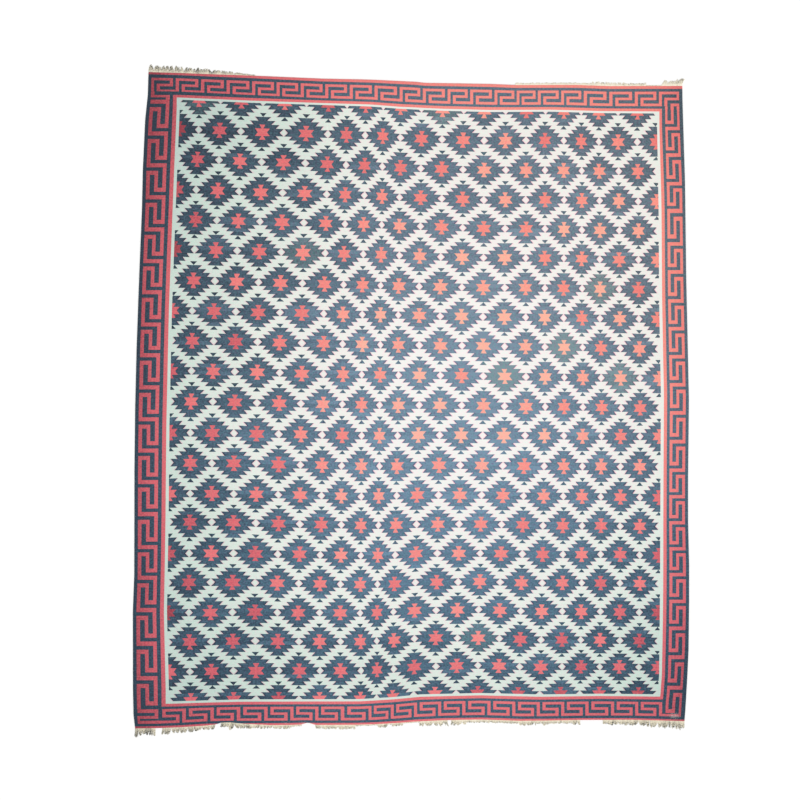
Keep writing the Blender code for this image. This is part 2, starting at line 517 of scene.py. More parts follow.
    def end_band(self, x: np.ndarray, y: np.ndarray) -> tuple[np.ndarray, np.ndarray]:
        """The key unit and the layer of the nearer end, at each place.

        Args:
            x: Places across the rug.
            y: Places along it.

        Returns:
            The units, in the common count, and the layers.
        """
        far_width = self.far(x) - self.field_far(x)
        near_width = self.field_near(x) - self.near(x)
        at_left = np.clip((-x - self.corner_end) / self.corner_end_reach, 0, 1)
        far_layer = (1 - at_left) * self.layer(self.far(x) - y, far_width, FAR_LAYERS)
        far_layer += at_left * self.layer(self.far(x) - y, far_width, FAR_LAYERS_LEFT)
        at_right = np.clip((x - self.corner_end) / self.corner_end_reach, 0, 1)
        near_layer = (1 - at_right) * self.layer(y - self.near(x), near_width, NEAR_LAYERS)
        near_layer += at_right * self.layer(y - self.near(x), near_width, NEAR_LAYERS_RIGHT)
        far_unit = unit_count(FAR_KEY_START, FAR_KEY_UNITS, 1, x) + Band.FAR.value
        near_unit = unit_count(NEAR_KEY_START, NEAR_KEY_UNITS, 1, x) + Band.NEAR.value
        return np.where(y > 0, far_unit, near_unit), np.where(y > 0, far_layer, near_layer)

    def side_band(self, x: np.ndarray, y: np.ndarray) -> tuple[np.ndarray, np.ndarray]:
        """The key unit and the layer of the nearer selvedge, at each place.

        Args:
            x: Places across the rug.
            y: Places along it.

        Returns:
            The units, in the common count, and the layers.
        """
        left_width = self.field_left(y) - self.left(y)
        right_width = self.right(y) - self.field_right(y)
        left_layer = self.layer(x - self.left(y), left_width, LEFT_LAYERS)
        far = np.clip((y - self.corner_far) / self.corner_far_reach, 0, 1)
        near = np.clip((-y - self.corner_near) / self.corner_near_reach, 0, 1)
        depth = self.right(y) - x
        right_layer = (1 - far - near) * self.layer(depth, right_width, RIGHT_LAYERS)
        right_layer += far * self.layer(depth, right_width, RIGHT_LAYERS_FAR)
        right_layer += near * self.layer(depth, right_width, RIGHT_LAYERS_NEAR)
        left_unit = unit_count(LEFT_KEY_START, LEFT_KEY_UNITS, -1, y) + Band.LEFT.value
        right_unit = unit_count(RIGHT_KEY_START, RIGHT_KEY_UNITS, -1, y) + Band.RIGHT.value
        return np.where(x < 0, left_unit, right_unit), np.where(x < 0, left_layer, right_layer)


@dataclass(frozen=True)
class LightPool:
    """Painted light and shade on the cloth: lightest in a broad pool of painted light right of the
    middle, and darker away from it.
    """

    middle: Point = Point(0.33, 0.10)
    slant: float = 0.15
    reach_left: float = 1.48
    reach_right: float = 1.75
    reach_far: float = 2.45
    reach_near: float = 1.80
    most: float = 0.96
    edge_darkening: float = 0.13
    edge_darkening_reach: float = 0.10
    warmth_middle: float = 0.58
    warmth_across: float = 0.19
    warmth_from: float = -1.0
    warmth_reach: float = 1.6

    def fade(self, x: np.ndarray, y: np.ndarray, edge: np.ndarray) -> np.ndarray:
        """How much painted light each place gets.

        Args:
            x: Places across the rug.
            y: Places along it.
            edge: How far each place is from the nearer selvedge, near which it is darker.

        Returns:
            The painted light, from about 0 in the deepest painted shade to 1 in the brightest
            painted light.
        """
        aside = x - self.middle.x - self.slant * y
        wide = np.where(aside > 0, self.reach_right, self.reach_left)
        long = np.where(y > self.middle.y, self.reach_far, self.reach_near)
        across = (aside / wide) ** 2
        along = ((y - self.middle.y) / long) ** 2
        # Darker near the selvedges.
        edge_darker = self.edge_darkening * np.exp(-(edge / self.edge_darkening_reach) ** 2)
        return self.most * np.exp(-across - along) - edge_darker

    def light_warmth(self, x: np.ndarray, y: np.ndarray) -> np.ndarray:
        """How warm the painted light is at each place, from 0, a cool cast, at the near end to 1, a
        warm cast, at the far right.
        """
        towards_far = np.clip((y - self.warmth_from) / self.warmth_reach, 0.0, 1.0)
        return towards_far * np.clip(self.warmth_middle + self.warmth_across * x, 0.0, 1.0)


@dataclass(frozen=True)
class Scuff:
    """A rubbed place where the warp shows through, by its middle and its reach."""

    x: float
    y: float
    reach_x: float
    reach_y: float

    def depth(self, x: np.ndarray, y: np.ndarray) -> np.ndarray:
        """How rubbed each place is, from 1 in the middle."""
        return np.exp(-((x - self.x) / self.reach_x) ** 2 - ((y - self.y) / self.reach_y) ** 2)


@dataclass(frozen=True)
class Number:
    """One number that varies over a surface, as the output of a node."""

    tree: bpy.types.NodeTree
    socket: bpy.types.NodeSocket

    def reckon(self, operation: str, *others: "Number | float") -> "Number":
        """Add a Math node on this number.

        Args:
            operation: The node's operation.
            others: Its second and third inputs.

        Returns:
            The node's result.
        """
        node = self.tree.nodes.new("ShaderNodeMath")
        node.operation = operation
        for slot, value in zip(node.inputs, (self, *others)):
            if isinstance(value, Number):
                self.tree.links.new(value.socket, slot)
            else:
                slot.default_value = value
        return Number(self.tree, node.outputs[0])

    def __add__(self, other: "Number | float") -> "Number":
        """Sum."""
        return self.reckon("ADD", other)

    def __sub__(self, other: "Number | float") -> "Number":
        """Difference."""
        return self.reckon("SUBTRACT", other)

    def __rsub__(self, other: float) -> "Number":
        """Difference from a plain number."""
        return self.reckon("MULTIPLY_ADD", -1.0, other)

    def __mul__(self, other: "Number | float") -> "Number":
        """Product, which is also "and" for two yes-or-no numbers."""
        return self.reckon("MULTIPLY", other)

    def __lt__(self, other: "Number | float") -> "Number":
        """1 where this number is the smaller."""
        return self.reckon("LESS_THAN", other)

    def __gt__(self, other: "Number | float") -> "Number":
        """1 where this number is the larger."""
        return self.reckon("GREATER_THAN", other)

    def __or__(self, other: "Number") -> "Number":
        """1 where either yes-or-no number is 1."""
        return self.reckon("MAXIMUM", other)

    def floor(self) -> "Number":
        """The whole number below."""
        return self.reckon("FLOOR")

    def between(self, low: float, high: float) -> "Number":
        """1 where this number lies from low to high."""
        return self.reckon("COMPARE", (low + high) / 2, (high - low) / 2)

    def choose(self, when_one: "Number", when_nought: "Number") -> "Number":
        """One number where this yes-or-no number is 1, and another where it is 0."""
        return self.reckon("MULTIPLY_ADD", when_one - when_nought, when_nought)


def linear(hex_colour: str, exposure: float = 1.0) -> tuple[float, float, float, float]:
    """A colour as nodes take it.

    Args:
        hex_colour: The hex code of how it looks in the studio light.
        exposure: How many times brighter than it is that light shows a colour.

    Returns:
        Red, green, blue and full cover.
    """
    parts = [int(hex_colour[start:start + 2], 16) / 255 for start in (0, 2, 4)]
    curve_of = [p / 12.92 if p <= 0.04045 else ((p + 0.055) / 1.055) ** 2.4 for p in parts]
    red, green, blue = (part / exposure for part in curve_of)
    return red, green, blue, 1.0


class Bench:
    """A new material's node tree, with a short way to add each node that the finishes use."""

    def __init__(self, name: str) -> None:
        """Start a material with its shader.

        Args:
            name: The material's name.
        """
        self.material = bpy.data.materials.new(name)
        self.material.use_nodes = True
        self.tree = self.material.node_tree
        self.shader = self.tree.nodes["Principled BSDF"]
        self.coordinates = self.tree.nodes.new("ShaderNodeTexCoord")

    def parts(self, vector: bpy.types.NodeSocket) -> tuple[Number, Number, Number]:
        """The three numbers of a vector.

        Args:
            vector: The output that gives it.

        Returns:
            Its numbers across the rug, along it and upwards.
        """
        node = self.tree.nodes.new("ShaderNodeSeparateXYZ")
        self.tree.links.new(vector, node.inputs[0])
        across, along, up = (Number(self.tree, part) for part in node.outputs)
        return across, along, up

    def attribute(self, name: str) -> tuple[Number, Number, Number]:
        """The three numbers of a vector attribute of the mesh.

        Args:
            name: The attribute's name.

        Returns:
            The numbers.
        """
        node = self.tree.nodes.new("ShaderNodeAttribute")
        node.attribute_name = name
        return self.parts(node.outputs["Vector"])

    def place(self) -> tuple[Number, Number, Number]:
        """The place on the object, in metres."""
        return self.parts(self.coordinates.outputs["Object"])

    def noise(self, across: float, along: float, detail: float = 2.0) -> Number:
        """Soft noise, from 0 to 1.

        Args:
            across: How many grains to a metre along X.
            along: How many grains to a metre along Y.
            detail: How many finer layers it has.

        Returns:
            The noise.
        """
        mapping = self.tree.nodes.new("ShaderNodeMapping")
        mapping.inputs["Scale"].default_value = (across, along, 1.0)
        self.tree.links.new(self.coordinates.outputs["Object"], mapping.inputs["Vector"])
        node = self.tree.nodes.new("ShaderNodeTexNoise")
        node.noise_dimensions = "2D"
        node.inputs["Scale"].default_value = 1.0
        node.inputs["Detail"].default_value = detail
        self.tree.links.new(mapping.outputs["Vector"], node.inputs["Vector"])
        return Number(self.tree, node.outputs["Fac"])

    def lot(self, first: Number, second: Number) -> Number:
        """A random number from 0 to 1 for each pair of whole numbers.

        Args:
            first: The first of the pair.
            second: The second.

        Returns:
            The random number.
        """
        pair = self.tree.nodes.new("ShaderNodeCombineXYZ")
        self.tree.links.new(first.socket, pair.inputs[0])
        self.tree.links.new(second.socket, pair.inputs[1])
        node = self.tree.nodes.new("ShaderNodeTexWhiteNoise")
        node.noise_dimensions = "2D"
        self.tree.links.new(pair.outputs[0], node.inputs["Vector"])
        return Number(self.tree, node.outputs["Value"])

    def shade_card(self, factor: Number, colours: list[tuple[float, ...]]) -> bpy.types.NodeSocket:
        """A colour ramp with evenly spaced colours.

        Args:
            factor: The place on the ramp, from 0 to 1.
            colours: Its colours, first to last.

        Returns:
            The ramp's colour.
        """
        node = self.tree.nodes.new("ShaderNodeValToRGB")
        stops = node.color_ramp.elements
        while len(stops) < len(colours):
            stops.new(0.5)
        for number, colour in enumerate(colours):
            stops[number].position = number / (len(colours) - 1)
            stops[number].color = colour
        self.tree.links.new(factor.socket, node.inputs["Fac"])
        return node.outputs["Color"]

    def mix(self, factor: "Number | float", first: "bpy.types.NodeSocket | tuple[float, ...]",
            second: "bpy.types.NodeSocket | tuple[float, ...]", blend: str = "MIX"
            ) -> bpy.types.NodeSocket:
        """A mix of two colours.

        Args:
            factor: How much of the second.
            first: The first colour.
            second: The second colour.
            blend: How they mix.

        Returns:
            The mixed colour.
        """
        node = self.tree.nodes.new("ShaderNodeMix")
        node.data_type = "RGBA"
        node.blend_type = blend
        for number, value in ((0, factor), (6, first), (7, second)):
            slot = node.inputs[number]
            if isinstance(value, Number):
                self.tree.links.new(value.socket, slot)
            elif isinstance(value, bpy.types.NodeSocket):
                self.tree.links.new(value, slot)
            else:
                slot.default_value = value
        return node.outputs[2]

    def raise_surface(self, height: Number, depth: float, strength: float) -> None:
        """Give the shader a fine relief.

        Args:
            height: The relief, from 0 to 1.
            depth: How deep it is, in metres.
            strength: How strongly it shows.
        """
        node = self.tree.nodes.new("ShaderNodeBump")
        node.inputs["Distance"].default_value = depth
        node.inputs["Strength"].default_value = strength
        self.tree.links.new(height.socket, node.inputs["Height"])
        self.tree.links.new(node.outputs["Normal"], self.shader.inputs["Normal"])

    def coat(self, colour: bpy.types.NodeSocket, roughness: float, sheen: float = 0.5) -> None:
        """Give the shader its colour and its dull surface.

        Args:
            colour: The colour.
            roughness: How matt it is, up to 1.
            sheen: How much light it throws back; 0.5 is usual.
        """
        self.tree.links.new(colour, self.shader.inputs["Base Color"])
        self.shader.inputs["Roughness"].default_value = roughness
        self.shader.inputs["Specular IOR Level"].default_value = sheen


@dataclass(frozen=True)
class KeyBar:
    """One bar of the key pattern: from and to along a band in units, and across it in fifths."""

    start: float
    stop: float
    inner: float
    outer: float


# One unit of the key. Across a band, 0 is its outer side at the ends of the rug and its
# inner side at the selvedges, so that the key turns the same way all round.
KEY_UNIT = [
    KeyBar(0.000, 0.125, 0.04, 4.96),
    KeyBar(0.000, 0.890, 0.04, 0.92),
    KeyBar(0.765, 0.890, 0.04, 2.92),
    KeyBar(0.235, 0.890, 2.08, 2.92),
    KeyBar(0.235, 0.360, 2.08, 4.96),
    KeyBar(0.235, 1.000, 4.08, 4.96),
]
# How the key is fitted in three of its corners, first what is left out, then what is added
CORNER_CUTS = {
    Band.LEFT: [KeyBar(-1.0, 0.0, -1, 6)],
    Band.RIGHT: [KeyBar(-0.5, 0.36, -1, 6)],
    Band.FAR: [KeyBar(21.36, 21.50, 3.9, 5.1), KeyBar(21.89, 22.5, 3.9, 5.1)],
    Band.NEAR: [KeyBar(-1.0, 0.125, -1, 6), KeyBar(20.17, 22, 1.1, 6)],
}
CORNER_BARS = {
    Band.LEFT: [
        KeyBar(-0.148, -0.076, 0, 5),
        KeyBar(-0.148, 0.000, 0, 1),
        KeyBar(-0.300, -0.076, 4.1, 5),
    ],
    Band.RIGHT: [
        KeyBar(-0.5, 0.36, 0, 1),
        KeyBar(-0.5, 0.36, 2, 3),
        KeyBar(-0.5, 0.36, 4, 5),
    ],
    Band.NEAR: [
        KeyBar(-0.762, 0.200, 0, 1),
        KeyBar(-0.762, 0.077, 1.70, 2.64),
        KeyBar(-0.762, -0.628, 0, 2.64),
        KeyBar(-0.057, 0.077, 1.70, 4.90),
        KeyBar(-0.720, 0.077, 3.70, 4.90),
    ],
}


@dataclass(frozen=True)
class Medallions:
    """What the medallions give: yes-or-no numbers for the navy ground and the red star, how
    near a place is to the joins of navy and ivory, a random number for each medallion, a
    yes-or-no number for the few washed-out ones, and how much lighter the navy is in one
    band than in another, and how much darker it is in its tips and where shade in the slits
    along its joins with the ivory is painted.
    """

    ground: Number
    star: Number
    joins: Number
    each: Number
    washed: Number
    lighter: Number


@dataclass(frozen=True)
class MedallionShape:
    """The steps of a medallion and how unevenly they are woven and dyed.

    Widths are measured from a medallion's middle to one side, as shares of the way to the
    middle of the next. A half-row is eight bands: four of the medallions on one row line
    and four of those on the next.
    """

    bands: int = 8
    widest: float = 0.4225
    narrowing: float = 0.1056
    slant: float = 0.0675
    slant_growth: float = 0.0056
    first_draw_in: float = 0.0175
    tip_slant: float = 0.085
    body: float = 0.108
    body_slant: float = 0.068
    point: float = 0.022
    point_slant: float = 0.048
    column_wander: float = 0.10
    column_jitter: float = 0.035
    row_wander: float = 0.05
    join_sharpness: float = 25.0
    # Painted shade in the slits: the navy is painted darker close to its edges; its tips are darker
    # too.
    slit_shade_sharpness: float = 16.0
    slit_shade_and_tip_darker: float = 0.22
    washed_from: float = 0.97
    washed_lighter: float = 0.12
    pale_band_from: float = 0.93
    pale_band_lighter: float = 0.08
    band_spread: float = 0.15


@dataclass(frozen=True)
class WovenFinish:
    """The flat weave in its three yarns, each painted lighter in a pool of painted light and darker
    away from it, and a little darker near the selvedges.
    """

    exposure: float = 1.2
    # Each yarn's colours run from its colour in painted shade to its colour in the brightest painted
    # light.
    navy: tuple[str, ...] = ("303c46", "41545f", "576e7a", "6a8290", "7d99a8")
    red: tuple[str, ...] = ("98424c", "d4686f", "ee8280", "fb9b90", "ffbca8")
    ivory: tuple[str, ...] = ("b0c4be", "cfdfd4", "eaefe6", "f5f3ed", "fbf9f5")
    # Painted cast of the light: cool towards the near end and the left, warm towards the far right.
    cool_light: tuple[float, ...] = (0.93, 1.05, 1.20, 1.0)
    warm_light: tuple[float, ...] = (1.12, 0.90, 0.86, 1.0)
    cool_light_red: tuple[float, ...] = (1.00, 0.98, 1.05, 1.0)
    warm_light_red: tuple[float, ...] = (1.03, 0.98, 0.90, 1.0)
    teal_fleck: tuple[float, ...] = (0.66, 1.30, 1.06, 1.0)
    plum_fleck: tuple[float, ...] = (1.34, 0.70, 0.94, 1.0)
    washed_tint: tuple[float, ...] = (1.04, 1.03, 0.90, 1.0)
    bled: tuple[float, ...] = (1.10, 0.67, 0.80, 1.0)
    bare_warp: tuple[float, ...] = (0.50, 0.50, 0.47, 1.0)
    pick: float = 0.0019
    warp_pitch: float = 0.0036
    roughness: float = 0.93
    sheen: float = 0.2
    relief: float = 0.0006
    relief_strength: float = 0.5
    drift: float = 0.16
    streak: float = 0.22
    mottle: float = 0.75
    lot_spread: float = 0.34
    lot_shift: float = 0.06
    rubbed_through: float = 0.95
    rub_spread: float = 2.4
    shape: MedallionShape = MedallionShape()

    def card(self, bench: Bench, factor: Number, codes: tuple[str, ...]) -> bpy.types.NodeSocket:
        """One yarn's colours, from darkest to lightest: in painted shade at one end and in painted
        light at the other.
        """
        return bench.shade_card(factor, [linear(code, self.exposure) for code in codes])

    def key(self, unit: Number, fifth: Number) -> Number:
        """1 on the red bars of the key pattern.

        Args:
            unit: Place along the band, in the common count of units.
            fifth: Place across it.

        Returns:
            The yes-or-no number.
        """
        share = unit.reckon("WRAP", 1.0, 0.0)
        bars = self.bars(share, fifth, KEY_UNIT, 0)
        for band, cuts in CORNER_CUTS.items():
            bars = bars * (1 - self.bars(unit, fifth, cuts, band.value))
        for band, added in CORNER_BARS.items():
            bars = bars | self.bars(unit, fifth, added, band.value)
        return bars

    @staticmethod
    def bars(unit: Number, fifth: Number, bars: list[KeyBar], first: float) -> Number:
        """1 on any of some bars.

        Args:
            unit: Place along the band.
            fifth: Place across it.
            bars: The bars.
            first: The band's first unit, from which they are counted.

        Returns:
            The yes-or-no number.
        """
        found = None
        for bar in bars:
            along = unit.between(first + bar.start, first + bar.stop)
            one = along * fifth.between(bar.inner, bar.outer)
            found = one if found is None else found | one
        return found

    def medallions(self, bench: Bench) -> Medallions:
        """Weave the stepped medallions of the field.

        Args:
            bench: The material's bench.

        Returns:
            What the medallions give at each place.
        """
        shape = self.shape
        column, row, _ = bench.attribute("field_chart")
        wander = (bench.noise(7, 9) - 0.5) * shape.column_wander
        column = column + wander + (bench.noise(45, 160) - 0.5) * shape.column_jitter
        row = row + (bench.noise(4, 6) - 0.5) * shape.row_wander
        band = (row - row.floor()) * shape.bands
        depth = band.reckon("MINIMUM", shape.bands - band)
        nearest = (row + 0.5).floor()
        odd = 1 - nearest.reckon("WRAP", 2.0, 0.0)
        pair = (column - odd) * 0.5
        medallion = (pair + 0.5).floor()
        side = (pair - medallion).reckon("ABSOLUTE")
        step = depth.floor()
        slant = depth - step
        half = shape.widest - step * shape.narrowing
        half = half + slant * (step * shape.slant_growth + shape.slant)
        half = half - (depth < 1) * (1 - slant) * shape.first_draw_in
        outside = (column > HALF_COLUMNS) | (column < 0)
        inside = 1 - odd * outside
        gap = half - side
        ground = (gap > 0.0) * inside
        near_join = 1 - gap.reckon("ABSOLUTE") * shape.join_sharpness
        joins = near_join.reckon("MAXIMUM", 0.0) * inside
        tip = (depth > 3) * ((0.5 - side) < (4 - depth) * shape.tip_slant)
        body = (depth < 1) * (side < slant * shape.body_slant + shape.body)
        points = depth.between(1, 2) * (side < slant * shape.point_slant + shape.point)
        # Painted shade in the slits along the navy's edges, darkest at the edge, and the darker
        # tips.
        slit_shade = 1 - gap * shape.slit_shade_sharpness
        slit_shade_and_tips = slit_shade.reckon("MAXIMUM", 0.0).reckon("MINIMUM", 1.0) | tip
        name = medallion * 2 + odd
        each = bench.lot(name, nearest)
        level = ((row - nearest) * shape.bands).floor()
        of_band = bench.lot(name * (shape.bands + 1) + level, nearest)
        washed = each > shape.washed_from
        lighter = (of_band - 0.5) * shape.band_spread
        lighter = lighter + (of_band > shape.pale_band_from) * shape.pale_band_lighter
        lighter = lighter + washed * shape.washed_lighter - slit_shade_and_tips * shape.slit_shade_and_tip_darker
        return Medallions(ground | tip, body | points, joins, each, washed, lighter)

    def weave(self, bench: Bench) -> Number:
        """The relief of weft picks that pass over and under the warp.

        Args:
            bench: The material's bench.

        Returns:
            The relief, from 0 to 1.
        """
        across, along, _ = bench.place()
        pick = along * (1 / self.pick)
        end = across * (1 / self.warp_pitch) + pick.floor() * 0.5
        over = (end * math.tau).reckon("COSINE") * 0.5 + 0.5
        round_pick = ((pick - pick.floor()) * math.pi).reckon("SINE")
        return round_pick * (over * 0.6 + 0.4)

    def material(self) -> bpy.types.Material:
        """Make the cloth's material.

        Returns:
            The material.
        """
        bench = Bench("woven_cotton")
        woven = self.medallions(bench)
        end_unit, end_layer, _ = bench.attribute("end_band")
        side_unit, side_layer, _ = bench.attribute("side_band")
        layer = end_layer.reckon("MINIMUM", side_layer)
        end_fifth = (end_layer - 2) * 5
        at_near_right = (side_unit > Band.RIGHT.value - 50) * (end_unit > Band.NEAR.value - 50)
        turned = at_near_right * (side_layer < 3) * (end_fifth > 1)
        ends_win = (end_layer < 3) * (1 - turned)
        unit = ends_win.choose(end_unit, side_unit)
        fifth = ends_win.choose(end_fifth, 15 - side_layer * 5)
        key = self.key(unit, fifth) * layer.between(2, 3)
        border_red = (layer < 1) | key | layer.between(4, 5)
        border_ivory = layer.between(5, 6)
        in_field = layer > 6
        red = in_field.choose(woven.star, border_red)
        ivory = in_field.choose(1 - woven.ground, border_ivory)

        # Painted light and shade, the warmth of the painted light, and the real rubbed places.
        fade, light_warmth, scuff = bench.attribute("light_and_wear")
        drift = (bench.noise(1.3, 1.7) - 0.5) * self.drift
        streak = (bench.noise(16, 240, detail=3) - 0.5) * self.streak
        mottle = (bench.noise(95, 120, detail=3) - 0.5) * self.mottle
        # Painted light and shade, with a broad random drift in the yarns added.
        fade = fade + drift
        # Places on the yarns' colours: painted light and shade, with the yarns' own lighter and
        # darker bands, lots, streaks and mottle.
        navy_light_and_dye = fade + in_field * woven.lighter + streak + mottle
        own_lot = (woven.each - 0.5) * self.lot_spread - self.lot_shift
        own_lot = in_field * own_lot + self.lot_shift
        red_light_and_dye = fade + own_lot + streak * 0.4 + mottle * 0.5
        ivory_light_and_dye = fade + streak * 0.5 + mottle * 0.25
        colour = self.card(bench, navy_light_and_dye, self.navy)
        colour = bench.mix(ivory, colour, self.card(bench, ivory_light_and_dye, self.ivory))
        colour = bench.mix(red, colour, self.card(bench, red_light_and_dye, self.red))
        # The painted cast of the light, cool to warm, with its own pair for the reds.
        light_cast = bench.mix(light_warmth, self.cool_light, self.warm_light)
        light_cast = bench.mix(red, light_cast, bench.mix(light_warmth, self.cool_light_red, self.warm_light_red))
        colour = bench.mix(1 - ivory * 0.9, colour, light_cast, "MULTIPLY")
        washed = in_field * woven.washed * (1 - red) * (1 - ivory)
        colour = bench.mix(washed, colour, self.washed_tint, "MULTIPLY")
        fleck = bench.mix(bench.noise(80, 100, detail=3), self.teal_fleck, self.plum_fleck)
        colour = bench.mix(1 - red * 0.3 - ivory * 0.6, colour, fleck, "MULTIPLY")
        colour = bench.mix(in_field * woven.joins * (1 - red), colour, self.bled, "MULTIPLY")
        rubbed = scuff + (bench.noise(240, 420, detail=1) - 0.5) * self.rub_spread
        bare = (rubbed > self.rubbed_through) * (scuff > 0.05)
        colour = bench.mix(bare * 0.8, colour, self.bare_warp)
        bench.coat(colour, self.roughness, self.sheen)
        bench.raise_surface(self.weave(bench), self.relief, self.relief_strength)
        return bench.material


@dataclass(frozen=True)
class WarpFinish:
    """Undyed cotton warp, pale at the root, darker towards the tips, with dark specks there."""

    exposure: float = 1.2
    yarn: tuple[str, ...] = ("3a3c37", "84837a", "c9c3b0", "efe7cf", "fff7e3")
    root_tone: float = 0.17
    tip_darkening: float = 0.16
    mottle: float = 0.6
    speck_from: float = 0.55
    speck_onset: float = 0.7
    speck_darker: float = 0.44
    roughness: float = 0.95
    sheen: float = 0.2
    relief: float = 0.0004
    relief_strength: float = 0.6

    def material(self) -> bpy.types.Material:
        """Make the fringes' material.

        Returns:
            The material.
        """
        bench = Bench("warp_cotton")
        shade, down, _ = bench.attribute("strand")
        mottle = (bench.noise(140, 140) - 0.5) * self.mottle
        speck = bench.noise(120, 160, detail=1) > self.speck_from
        speck = speck * down.reckon("POWER", self.speck_onset)
        factor = shade + mottle + self.root_tone - down * self.tip_darkening - speck * self.speck_darker
        colour = bench.shade_card(factor, [linear(code, self.exposure) for code in self.yarn])
        bench.coat(colour, self.roughness, self.sheen)
        bench.raise_surface(bench.noise(900, 900), self.relief, self.relief_strength)
        return bench.material


def stand_up(name: str, bm: bmesh.types.BMesh, material: bpy.types.Material) -> bpy.types.Object:
    """Turn a finished mesh into an object of the scene.

    Args:
        name: The object's name.
        bm: Its mesh, which is used up.
        material: Its material.

    Returns:
        The object.
    """
    mesh = bpy.data.meshes.new(name)
    bm.to_mesh(mesh)
    bm.free()
    mesh.materials.append(material)
    made = bpy.data.objects.new(name, mesh)
    bpy.context.scene.collection.objects.link(made)
    return made


@dataclass(frozen=True)
class Ripples:
    """Low waves that lift the cloth here and there: broad ones, and finer ones on them.

    Each wave is given by how many it has to a metre across the rug and along it, and by
    where it is cut out of the noise.
    """

    height: float = 0.0018
    broad: tuple[float, float, float] = (1.7, 1.3, 0.3)
    fine: tuple[float, float, float] = (5.0, 4.0, 4.2)
    lift: float = 0.45
    broad_share: float = 0.9
    fine_share: float = 0.35
    settled: float = 0.8

    @staticmethod
    def wave(x: float, y: float, kind: tuple[float, float, float]) -> float:
        """One wave's height at a place, from about -1 to 1."""
        across, along, cut = kind
        return noise.noise(Vector((x * across, y * along, cut)))

    def rise(self, x: float, y: float) -> float:
        """How far the cloth lifts off the floor.

        Args:
            x: A place across the rug.
            y: The same place along it.

        Returns:
            The rise, in metres.
        """
        waves = self.lift + self.broad_share * self.wave(x, y, self.broad)
        waves += self.fine_share * self.wave(x, y, self.fine)
        return self.height * max(0.0, waves) * self.settled


